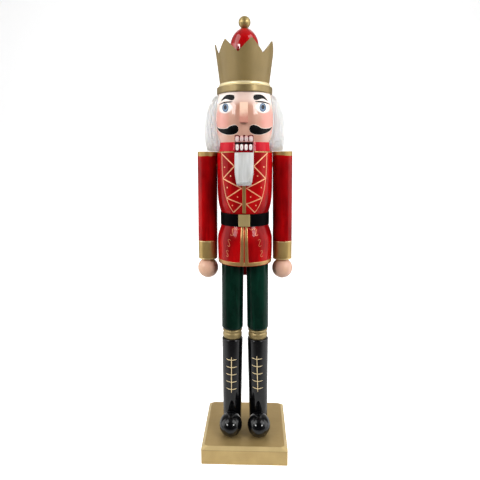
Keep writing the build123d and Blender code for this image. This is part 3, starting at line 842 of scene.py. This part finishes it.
# ---- face
# Lines of paint are (x, z, half width) points on the figure's left, mirrored to its right.
PUPIL = (3.9, 5.3)
PUPIL_RISE = 0.6
EYE_LEAN = 0.12
BROW = [(18.0, 755.0, 0.5), (18.5, 755.0, 2.7), (19.9, 755.1, 4.5), (22.8, 755.3, 5.3),
        (28.2, 756.6, 4.8), (33.4, 757.2, 3.9), (38.0, 756.1, 2.6), (42.2, 753.5, 1.5),
        (45.4, 750.8, 0.3)]
LID = [(21.5, 747.2, 0.6), (30.0, 747.5, 1.4), (40.0, 747.1, 1.4), (49.5, 745.2, 0.5)]
MOUSTACHE = [(10.3, 695.8, 0.5), (10.9, 695.8, 3.5), (12.6, 695.9, 6.1), (15.2, 696.0, 7.9),
             (18.6, 695.9, 8.6), (25.2, 694.1, 8.5), (31.2, 692.7, 6.8), (38.1, 693.1, 5.2),
             (45.0, 694.9, 3.8), (51.2, 698.3, 2.0), (55.2, 703.6, 0.2)]
OUTLINE = 0.9
UPPER_LIP = (18.6, 7.2)
UPPER_LIP_Z = 678.6
UPPER_TEETH_Z = 678.2
UPPER_TEETH_X = (-13.4, -4.5, 4.5, 13.4)
UPPER_TOOTH_SIZE = (3.6, 5.6)
UPPER_LINE_Z = 676.8
UPPER_LINE = (0.5, 2.4)
PINK_LEVEL = (0.6780, 0.6835)
LOWER_LIP = (17.2, 8.6)
LOWER_LIP_DROP = 10.0
LOWER_TEETH_X = (-12.9, -4.3, 4.3, 12.9)
LOWER_TOOTH_SIZE = (3.05, 5.8)
LOWER_TEETH_DROP = 9.7
LOWER_LINE_DROP = 9.4
LOWER_LINE = (0.5, 2.2)
JAW_EDGE = (17.3, 2.1, 1.9)


def make_flat_paint(name, paint, rough=0.3, coat=0.6, scale=160.0):
    """Gloss paint from a small brush."""
    low, main, high = paint
    p = Paint(name, rough, 0.0, coat, 0.08, 0.06)
    tone = p.noise(scale, tall(0.6))
    p.base(p.mix(p.span(tone, 0.3, 0.7), low, main))
    p.over(p.span(p.noise(scale * 3.0), 0.58, 0.75, 0.0, 0.4), high)
    p.bump(p.noise(scale * 2.0), 0.12, 0.0002)
    return p.done(rough=p.span(tone, 0.3, 0.7, rough - 0.06, rough + 0.1))


def make_iris():
    """Blue with a darker ring at its edge and streaks out from the middle."""
    p = Paint("iris_blue", 0.25, 0.0, coat=1.0, coat_rough=0.05)
    across, up = p.around(*EYE, *IRIS)
    away = p.math("SQRT", p.squares(across, up))
    streak = p.math("SINE", p.times(p.math("ARCTAN2", up, across), 13.0))
    tone = p.noise(500.0, detail=3.0)
    p.base(p.mix(p.span(tone, 0.3, 0.7), IRIS_BLUE[0], IRIS_BLUE[1]))
    p.over(p.span(streak, 0.2, 1.0, 0.0, 0.25), IRIS_BLUE[2])
    p.over(p.span(away, 0.74, 0.95), IRIS_EDGE)
    return p.done(rough=p.span(tone, 0.3, 0.7, 0.2, 0.32))


def make_upper_teeth():
    """Teeth that turn pink towards the lip."""
    p = Paint("upper_tooth", 0.3, 0.0, coat=0.8, coat_rough=0.08)
    tone = p.noise(300.0, detail=3.0)
    level = p.plus(p.z, p.span(tone, 0.3, 0.7, -0.0008, 0.0008))
    p.base(p.mix(p.span(level, *PINK_LEVEL), *UPPER_TOOTH))
    p.over(p.span(tone, 0.55, 0.75, 0.0, 0.4), WHITE)
    p.bump(tone, 0.1, 0.0002)
    return p.done(rough=p.span(tone, 0.3, 0.7, 0.24, 0.38))


def paint_eyes(head, black):
    irises, pupils, brows = Shape(), Shape(), Shape()
    x, z = EYE
    for side, _ in SIDES:
        spot(irises, head, side * x, z, *IRIS, 0.26, 2.1, turn=-EYE_LEAN * side)
        spot(pupils, head, side * x, z + PUPIL_RISE, *PUPIL, 0.34, 2.0)
        stroke(brows, head, on_side(BROW, side), 0.4, flat=True)
        stroke(brows, head, on_side(LID, side), 0.4, flat=True)
    irises.make("irises", make_iris(), *FACE)
    pupils.make("pupils", make_flat_paint("pupil_navy", PUPIL_NAVY), *FACE)
    brows.make("brows", black, *FACE)


def paint_moustache(head, black):
    moustache, outline = Shape(), Shape()
    for side, _ in SIDES:
        curl = on_side(MOUSTACHE, side)
        stroke(moustache, head, curl, 0.5, flat=True)
        stroke(outline, head, [(x, z, w + OUTLINE) for x, z, w in curl], 0.14, flat=True)
    moustache.make("moustache", black, *FACE)
    pale = make_flat_paint("pale_outline", OUTLINE_PALE)
    outline.make("moustache_outline", pale, *FACE)


def paint_upper_mouth(head, crimson):
    lip, teeth, lines = Shape(), Shape(), Shape()
    spot(lip, head, 0.0, UPPER_LIP_Z, *UPPER_LIP, 0.22, 8.0, flatness=8)
    lip.make("upper_lip", crimson, *FACE)
    for x in UPPER_TEETH_X:
        spot(teeth, head, x, UPPER_TEETH_Z, *UPPER_TOOTH_SIZE, 0.45, 3.0, flatness=6)
        spot(lines, head, x, UPPER_LINE_Z, *UPPER_LINE, 0.5, 2.4, segments=16)
    teeth.make("upper_teeth", make_upper_teeth(), *FACE)
    line = make_flat_paint("tooth_line", TOOTH_LINE)
    lines.make("upper_teeth_lines", line, *FACE)


def paint_jaw(crimson, black):
    jaw = surface("jaw_lever")
    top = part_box("jaw_lever")[1].z / MM
    teeth, lines, lip, edge = Shape(), Shape(), Shape(), Shape()
    spot(lip, jaw, 0.0, top - LOWER_LIP_DROP, *LOWER_LIP, 0.16, 9.0, flatness=8)
    lip.make("lower_lip", crimson, *LEVER)
    for x in LOWER_TEETH_X:
        spot(teeth, jaw, x, top - LOWER_TEETH_DROP, *LOWER_TOOTH_SIZE, 0.5, 3.0, flatness=6)
        spot(lines, jaw, x, top - LOWER_LINE_DROP, *LOWER_LINE, 0.56, 2.0, segments=12)
    teeth.make("lower_teeth", make_flat_paint("tooth_white", TOOTH), *LEVER)
    lines.make("lower_teeth_lines", crimson, *LEVER)
    reach, drop, half = JAW_EDGE
    stroke(edge, jaw, [(x, top - drop, half) for x in (-reach, 0.0, reach)], 0.3, 2.0)
    edge.make("jaw_edge", black, *LEVER)


def paint_face():
    head = surface("head")
    black = make_flat_paint("face_black", BLACK, 0.35, 0.15)
    crimson = make_flat_paint("mouth_crimson", CRIMSON)
    paint_eyes(head, black)
    paint_moustache(head, black)
    paint_upper_mouth(head, crimson)
    paint_jaw(crimson, black)


# ---- gold lines
LINE_LIFT = 0.32
ZIGZAG = [(46.0, 651.4), (19.0, 626.0), (42.6, 601.5), (5.0, 583.2), (35.5, 563.0), (4.2, 552.0),
          (21.0, 534.5)]
COAT_EDGE = [(44.6, 651.6), (44.0, 625.0), (42.6, 601.0), (39.0, 576.6), (35.2, 561.5),
             (29.2, 546.3), (21.1, 534.0)]
COAT_DOTS = [(38.9, 624.0), (26.5, 607.0), (33.9, 584.0), (12.9, 566.0), (23.3, 548.7)]
DOT_RADIUS = 1.35
COAT_STRIP = [(0.0, 589.0, 3.2), (0.0, 586.0, 3.5), (0.0, 560.0, 3.55), (0.0, 533.0, 3.6)]
SKIRT_STRIP = [(4.1, 505.0, 2.4), (4.1, 484.0, 3.0), (4.3, 462.0, 3.4), (4.6, 446.0, 3.6),
               (5.0, 430.0, 3.8)]
NECK_LINE = (57.4, 1.7, 0.95)
NECK_GAP = 20.0
HEM_BAND = (57.0, 4.4, 3.9)
CUFF_LINES = (39.2, 1.9)
CUFF_LINE_HALF = 0.8
CUFF_LINE_START = -42.0
CUFF_LINE_TURN = 180.0
SCROLL_TURN = 4.3
FLOURISH = [(9.0, 503.0, 0.3), (13.0, 499.6, 0.6), (17.0, 500.4, 0.6), (20.0, 503.6, 0.3)]

# Boot laces: the lace's x at its foot and top, and how far the rungs are lowered, for each side.
LACES = {"left": (28.4, 26.2, 0.0), "right": (-30.2, -29.6, 3.0)}
LACE_FOOT = 131.0
LACE_MIDDLE = 170.0
LACE_TOP = 213.0
LACE_RUN = 81.0
RUNG_TOP = 208.0
RUNG_STEP = 17.6
RUNG = [(-11.6, 1.4, 0.4), (-6.8, 0.1, 0.85), (0.0, -0.6, 0.9), (6.8, -0.2, 0.85), (11.6, 0.8, 0.4)]
RUNGS = 5


def ring_path(radius, z, half, start=0.0, end=360.0, count=72):
    """Points round the vertical axis, for a line that goes round the body."""
    points = []
    for k in range(count + 1):
        a = math.radians(start + (end - start) * k / count)
        points.append((radius * math.sin(a), -radius * math.cos(a), z, half))
    return points


def scroll(x, z, size, lean):
    """An S of two curls, centred at x and z."""
    path = []
    for k in range(25):
        t = k / 24.0 * 2.0 - 1.0
        turn = t * SCROLL_TURN
        reach = size * (0.32 + 0.68 * (1.0 - abs(t)) ** 0.6)
        u = math.sin(turn) * reach * 0.42
        v = math.copysign(1.0, t) * (size * 0.55 - math.cos(turn) * reach * 0.42 * 0.9)
        if abs(t) < 0.05:
            v = 0.0
        path.append((x + u * math.cos(lean) - v * math.sin(lean),
                     z + u * math.sin(lean) + v * math.cos(lean), 0.42 + 0.3 * (1.0 - abs(t))))
    return path


SCROLLS = [scroll(23.5, 494.5, 9.0, 0.5), scroll(31.0, 472.5, 9.0, 0.3), scroll(35.0, 450.0, 8.0, 0.2),
           FLOURISH]


def paint_chest(chest, strip):
    """Zigzag lacing with dots between two curved edges, a strip down the middle, and a line
    under the collar that leaves the jaw free."""
    lines, centre, neck = Shape(), Shape(), Shape()
    for side, _ in SIDES:
        path = on_side(ZIGZAG, side)
        for a, b in zip(path, path[1:]):
            middle = ((a[0] + b[0]) / 2, (a[1] + b[1]) / 2)
            stroke(lines, chest, rounded([(*a, 1.0), (*middle, 1.08), (*b, 0.95)]), LINE_LIFT)
    for side, _ in SIDES:
        edge = [(x, z, 0.75) for x, z in on_side(COAT_EDGE, side)]
        stroke(lines, chest, rounded(edge), LINE_LIFT)
    for side, _ in SIDES:
        for x, z in on_side(COAT_DOTS, side):
            spot(lines, chest, x, z, DOT_RADIUS, DOT_RADIUS, 0.45, segments=16, flatness=2)
    copper = make_gold("line_copper", COPPER, 0.34, 0.55)
    lines.make("coat_lines", copper, *COAT)
    stroke(centre, chest, COAT_STRIP, 0.4)
    centre.make("coat_strip", strip, *COAT)
    radius, drop, half = NECK_LINE
    level = (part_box("chest")[1].z - COLLAR_HEIGHT) / MM - drop
    ring = ring_path(radius, level, half, NECK_GAP, 360.0 - NECK_GAP)
    stroke(neck, chest, ring, 0.35, 3.0, surface_points=True)
    neck.make("neck_line", make_gold("neck_gilt", GOLD, 0.3, 0.7), *COAT)


def paint_skirt(skirt, strip):
    """The edges of the coat's opening, the hem, and faded scrolls on each side."""
    bars, hem, scrolls = Shape(), Shape(), Shape()
    for side, _ in SIDES:
        stroke(bars, skirt, on_side(SKIRT_STRIP, side), 0.4)
    bars.make("skirt_strips", strip, *COAT)
    radius, rise, half = HEM_BAND
    ring = ring_path(radius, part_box("skirt")[0].z / MM + rise, half)
    stroke(hem, skirt, ring, 0.35, 3.0, surface_points=True)
    hem.make("hem_band", strip, *COAT)
    for side, _ in SIDES:
        for path in SCROLLS:
            stroke(scrolls, skirt, on_side(path, side), 0.28, 0.8)
    faded = make_gold("scroll_copper", SCROLL_COPPER, 0.36, 0.4)
    scrolls.make("skirt_scrolls", faded, *COAT)


def paint_arms():
    """A lighter line round the top and near the end of each cuff."""
    pale = make_gold("cuff_line_gilt", CUFF_LINE_GOLD, 0.3, 0.7)
    radius = CUFF_RADIUS / MM + 0.4
    for side, name in SIDES:
        tree = surface("arm_" + name)
        low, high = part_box("arm_" + name)
        wrist = max(abs(low.x), abs(high.x)) - CUFF_RADIUS
        centre = Vector((side * wrist, (low.y + high.y) / 2, 0.0)) / MM
        edges = Shape()
        for rise in CUFF_LINES:
            path = []
            for k in range(41):
                a = math.radians(CUFF_LINE_START + CUFF_LINE_TURN * k / 40.0)
                path.append((centre.x + side * radius * math.sin(a),
                             centre.y - radius * math.cos(a), low.z / MM + rise))
            run_round(edges, tree, path, centre)
        edges.make("cuff_lines_" + name, pale, *SLEEVE)


def run_round(shape, tree, points, centre):
    """A line round an upright turned piece whose axis passes through centre."""
    rows = []
    for x, y, z in points:
        out = Vector((x - centre.x, y - centre.y, 0.0))
        rows.append([pressed(tree, Vector((x, y, z + share * CUFF_LINE_HALF)) * MM, out)
                     for share in ACROSS])
    heights = [[film(abs(share), 0.3) for share in ACROSS]] * len(rows)
    shape.patch(rows, heights, SINK)


def paint_boots():
    """A gold lace up each boot, crossed by rungs that dip in the middle."""
    line = make_gold("lace_gilt", LACE_GOLD, 0.4, 0.2)
    for _, name in SIDES:
        tree = surface("boot_" + name)
        laces = Shape()
        foot, top, drop = LACES[name]
        slope = (top - foot) / LACE_RUN
        upright = [(foot, LACE_FOOT - drop, 0.8),
                   (foot + slope * (LACE_MIDDLE - LACE_FOOT), LACE_MIDDLE, 0.95),
                   (foot + slope * (LACE_TOP - LACE_FOOT), LACE_TOP - drop, 0.8)]
        stroke(laces, tree, rounded(upright), 0.35)
        for k in range(RUNGS):
            z = RUNG_TOP - RUNG_STEP * k - drop
            x = foot + slope * (z - LACE_FOOT)
            stroke(laces, tree, [(x + u, z + v, w) for u, v, w in RUNG], 0.35)
        laces.make("laces_" + name, line, *BOOT)


# ---- fur
FUR_SCATTER = (0.004, 0.0035, 0.003)
# The wig's painted glow: an emission that brightens the white fur, though it is no lamp.
WIG_PAINTED_GLOW = 0.09
TAPER = (0.55, 0.95, 1.0, 0.95, 0.85, 0.65, 0.12)
HAIR_STRANDS = 5200
WISPS = 900
BEARD_STRANDS = 1500


def make_fur(name, paint, glow=0.0):
    """White synthetic fur: strand to strand colour with painted shade along the strands, softly lit
    through, and a painted glow as strong as glow.
    """
    root, tip, shade = paint
    p = Paint(name, 0.55)
    p.set("Subsurface Weight", 0.6)
    p.set("Subsurface Radius", FUR_SCATTER)
    p.set("Sheen Weight", 0.5)
    # Painted glow: the fur emits its tip colour at the given strength.
    p.set("Emission Color", tip)
    p.set("Emission Strength", glow)
    strands = p.noise(900.0, tall(0.03), 3.0)
    p.base(p.mix(p.cloudy(120.0, stretch=tall(0.12), detail=3.0), root, tip))
    # Painted shade: darker streaks along the strands, standing in for the shade between them.
    p.over(p.span(strands, 0.52, 0.75, 0.0, 0.25), shade)
    p.bump(strands, 0.12, 0.0003)
    return p.done(rough=p.span(strands, 0.3, 0.7, 0.45, 0.65))


def lock(shape, points, outward, width, thick):
    """One tapered strand of three sides along the points; outward gives the way it faces."""
    first = len(shape.verts)
    count = len(points)
    for i, point in enumerate(points):
        along = (points[min(i + 1, count - 1)] - points[max(i - 1, 0)]).normalized()
        face = outward[i]
        side = along.cross(face).normalized()
        t = i / (count - 1) * (len(TAPER) - 1)
        k = min(int(t), len(TAPER) - 2)
        size = TAPER[k] + (TAPER[k + 1] - TAPER[k]) * (t - k)
        shape.verts += [point + side * width * size, point + face * thick * size,
                        point - side * width * size]
    for i in range(count - 1):
        for j in range(3):
            a, b = first + 3 * i + j, first + 3 * i + (j + 1) % 3
            shape.faces.append((a, b, b + 3, a + 3))
    shape.faces.append((first + 2, first + 1, first))
    end = first + 3 * (count - 1)
    shape.faces.append((end, end + 1, end + 2))


def cast_in(tree, angle, z):
    """Distance from the upright axis to the outside of a surface, at an angle and level."""
    out = Vector((math.cos(angle), math.sin(angle), 0.0))
    hit = tree.ray_cast(out * 0.2 + Vector((0.0, 0.0, z)), -out)
    return None if hit[0] is None else math.hypot(hit[0].x, hit[0].y)


class Wig:
    """The outside of the hair as a soft roll round the head, thinning to nothing at its front edges."""

    def __init__(self):
        self.tree = surface("hair")
        self.skull = surface("head")
        self.low, self.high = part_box("hair")
        self.start = math.radians(-6.0)
        self.stop = math.radians(186.0)
        self.columns = 48
        self.levels = 24
        self.fade = math.radians(17.0)
        self.table = {(i, k): self.measure(i, k)
                      for i in range(self.columns + 1) for k in range(self.levels + 1)}

    def measure(self, i, k):
        """Radii of the hair's outside and of the head, at one place in the table."""
        angle = self.start + (self.stop - self.start) * i / self.columns
        z = self.low.z + (self.high.z - self.low.z) * k / self.levels
        inside = min(max(angle, self.start + 0.06), self.stop - 0.06)
        level = min(max(z, self.low.z + 0.0012), self.high.z - 0.0012)
        outer = cast_in(self.tree, inside, level) or 0.06
        inner = cast_in(self.skull, angle, min(max(z, 0.674), 0.765)) or 0.05
        return outer, min(inner, outer - 0.001)

    def radii(self, angle, z):
        u = min(max((angle - self.start) / (self.stop - self.start), 0.0), 1.0) * self.columns
        v = min(max((z - self.low.z) / (self.high.z - self.low.z), 0.0), 1.0) * self.levels
        i, k = min(int(u), self.columns - 1), min(int(v), self.levels - 1)
        u, v = u - i, v - k
        found = []
        for n in (0, 1):
            a = self.table[i, k][n] * (1 - u) + self.table[i + 1, k][n] * u
            b = self.table[i, k + 1][n] * (1 - u) + self.table[i + 1, k + 1][n] * u
            found.append(a * (1 - v) + b * v)
        return found

    def place(self, share, z):
        """A point of the roll: share from 0 to 1 goes from the left front edge round to the right."""
        edge = 0.16
        if share < edge or share > 1.0 - edge:
            near = min(share, 1.0 - share) / edge
            turn = 0.5 * math.pi * near
            inward = self.fade * (1.0 - math.cos(turn))
            rise = math.sin(turn)
            angle = self.start + inward if share < 0.5 else self.stop - inward
        else:
            rise = 1.0
            span = self.stop - self.start - 2.0 * self.fade
            angle = self.start + self.fade + span * (share - edge) / (1.0 - 2.0 * edge)
        outer, inner = self.radii(angle, z)
        r = inner + (outer - inner) * rise
        return Vector((r * math.cos(angle), r * math.sin(angle), z))

    def facing(self, share, z):
        """The outward direction of the roll there."""
        a = self.place(max(share - 0.004, 0.0), z)
        b = self.place(min(share + 0.004, 1.0), z)
        run = (b - a).normalized()
        return run.cross(Vector((0.0, 0.0, 1.0))).normalized()


def comb_under(name, at, columns, levels, thick, fur, home):
    """A combed sheet of fur under the strands. at gives a point and the way it faces, for a
    column and level of the sheet."""
    rows = [[at(i, k, i / columns, k / levels) for i in range(columns + 1)]
            for k in range(levels + 1)]
    under = Shape()
    under.patch(rows, [[0.0] * (columns + 1)] * len(rows), thick)
    return under.make(name, fur, *home)


def strand(wig, shape, run, sizes):
    """A strand on the roll. run gives its share of the way round, level and height off the roll."""
    points, faces = [], []
    for k in range(9):
        share, z, lift = run(k / 8.0)
        share = min(max(share, 0.0), 1.0)
        out = wig.facing(share, z)
        points.append(wig.place(share, z) + out * lift)
        faces.append(out)
    lock(shape, points, faces, *sizes)


def make_hair():
    """The wig: a combed under-shape, long strands that fall from the crown to the shoulders,
    and loose wisps over them."""
    wig = Wig()
    low, high = wig.low, wig.high
    fur = make_fur("wig_fur", WIG_FUR, WIG_PAINTED_GLOW)

    def roll(i, k, share, rise):
        z = low.z + 0.0004 + (high.z - low.z - 0.0008) * rise
        groove = 0.0006 * math.sin(i * 1.9 + math.sin(k * 0.3)) + 0.0004 * math.sin(i * 4.4 + k * 0.15)
        out = wig.facing(share, z)
        return wig.place(share, z) + out * (groove - 0.0020), out

    comb_under("hair_under", roll, 150, 30, 0.0045, fur, HAIR)
    parts = {"hair_left": Shape(), "hair_back": Shape(), "hair_right": Shape()}

    def part(share):
        return parts["hair_left" if share < 0.3 else "hair_right" if share > 0.7 else "hair_back"]

    for n in range(HAIR_STRANDS):
        share = rng.random()
        z0 = high.z - 0.0006 - rng.random() ** 1.6 * 0.052
        z1 = low.z + 0.0006 + rng.random() ** 2.0 * 0.022
        layer = -0.0020 + 0.0046 * rng.random() ** 1.6
        drift = rng.uniform(-0.018, 0.018)
        wave = rng.uniform(0.001, 0.005)
        phase = rng.uniform(0.0, 6.28)
        width = rng.uniform(0.00035, 0.0009)

        def fall(t):
            lift = layer + 0.0005 * math.sin(phase * 2.0 + t * 5.0)
            lift -= 0.0015 * max(0.0, 1.0 - t * 6.0)
            lift += (layer + 0.0020) * 0.5 * t * t
            return share + drift * t + wave * math.sin(phase + t * 4.0), z0 + (z1 - z0) * t, lift

        strand(wig, part(share), fall, (width, 0.0005))
    for n in range(WISPS):
        share = rng.random()
        z0 = low.z + rng.uniform(0.012, 0.085)
        z1 = max(low.z + 0.001, z0 - rng.uniform(0.018, 0.045))
        stray = rng.uniform(0.0010, 0.0058)
        drift = rng.uniform(-0.03, 0.03)
        phase = rng.uniform(0.0, 6.28)
        width = rng.uniform(0.00016, 0.00034)

        def stray_out(t):
            lift = 0.0012 + stray * t * t + 0.0003 * math.sin(phase + 5.0 * t)
            return share + drift * t * t, z0 + (z1 - z0) * t, lift

        strand(wig, part(share), stray_out, (width, 0.0002))
    for name, shape in parts.items():
        piece = shape.make(name, fur, *HAIR)
        if name == "hair_back":
            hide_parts("hair")


def make_beard():
    """The beard: a flat tuft that hangs from the jaw, in fine strands with a ragged end."""
    low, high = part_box("beard")
    fur = make_fur("beard_fur", BEARD_FUR)
    half = (high.x - low.x) / 2
    middle_y = (low.y + high.y) / 2

    def width_at(z):
        t = (high.z - z) / (high.z - low.z)
        return half * (1.0 - 0.22 * max(0.0, t - 0.55) / 0.45)

    def tuft(i, k, share, fall):
        z = high.z - 0.0004 - (high.z - low.z - 0.006) * fall
        u = share * 2.0 - 1.0
        groove = 0.0005 * math.sin(i * 2.1 + math.sin(k * 0.4)) + 0.0003 * math.sin(i * 4.7)
        bulge = 0.0022 * math.sqrt(max(0.0, 1.0 - u * u))
        point = Vector((u * (width_at(z) - 0.0012), middle_y - bulge + groove, z))
        return point, Vector((0.0, -1.0, 0.0))

    under = comb_under("beard_under", tuft, 40, 30, 0.0022, fur, BEARD)
    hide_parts("beard")

    strands = Shape()
    for n in range(BEARD_STRANDS):
        u = rng.uniform(-1.0, 1.0)
        way = -1.0 if rng.random() < 0.72 else 1.0
        z0 = high.z - 0.0004 - rng.random() ** 2.2 * 0.03
        z1 = low.z + rng.random() ** 1.5 * 0.018
        wave = rng.uniform(0.0001, 0.0007)
        phase = rng.uniform(0.0, 6.28)
        drift = rng.uniform(-0.0012, 0.0012)
        layer = rng.uniform(0.0, 0.0009)
        width = rng.uniform(0.00022, 0.00055)
        bulge = (0.0026 if way < 0.0 else 0.0016) * math.sqrt(max(0.0, 1.0 - u * u * 0.9)) + layer
        y = min(max(middle_y + way * bulge, low.y + 0.0004), high.y - 0.0004)
        points = []
        for k in range(8):
            t = k / 7.0
            z = z0 + (z1 - z0) * t
            x = u * (width_at(z) - 0.0006) + drift * t + wave * math.sin(phase + 4.0 * t)
            points.append(Vector((min(max(x, -half + 0.0003), half - 0.0003), y, z)))
        facing = Vector((0.35 * u, way, 0.0)).normalized()
        lock(strands, points, [facing] * 8, width, 0.0003)
    strands.make("beard_strands", fur, *BEARD)


# ---- the scene
def make_scene():
    bpy.context.scene.view_settings.view_transform = "Standard"
    add_camera()
    add_world()
    add_floor()
    add_lights()
    dress_nodes()
    paint_face()
    chest, skirt = surface("chest"), surface("skirt")
    strip = make_gold("strip_gilt", STRIP_GOLD, 0.36, 0.7)
    paint_chest(chest, strip)
    paint_skirt(skirt, strip)
    paint_arms()
    paint_boots()
    make_hair()
    make_beard()


make_scene()
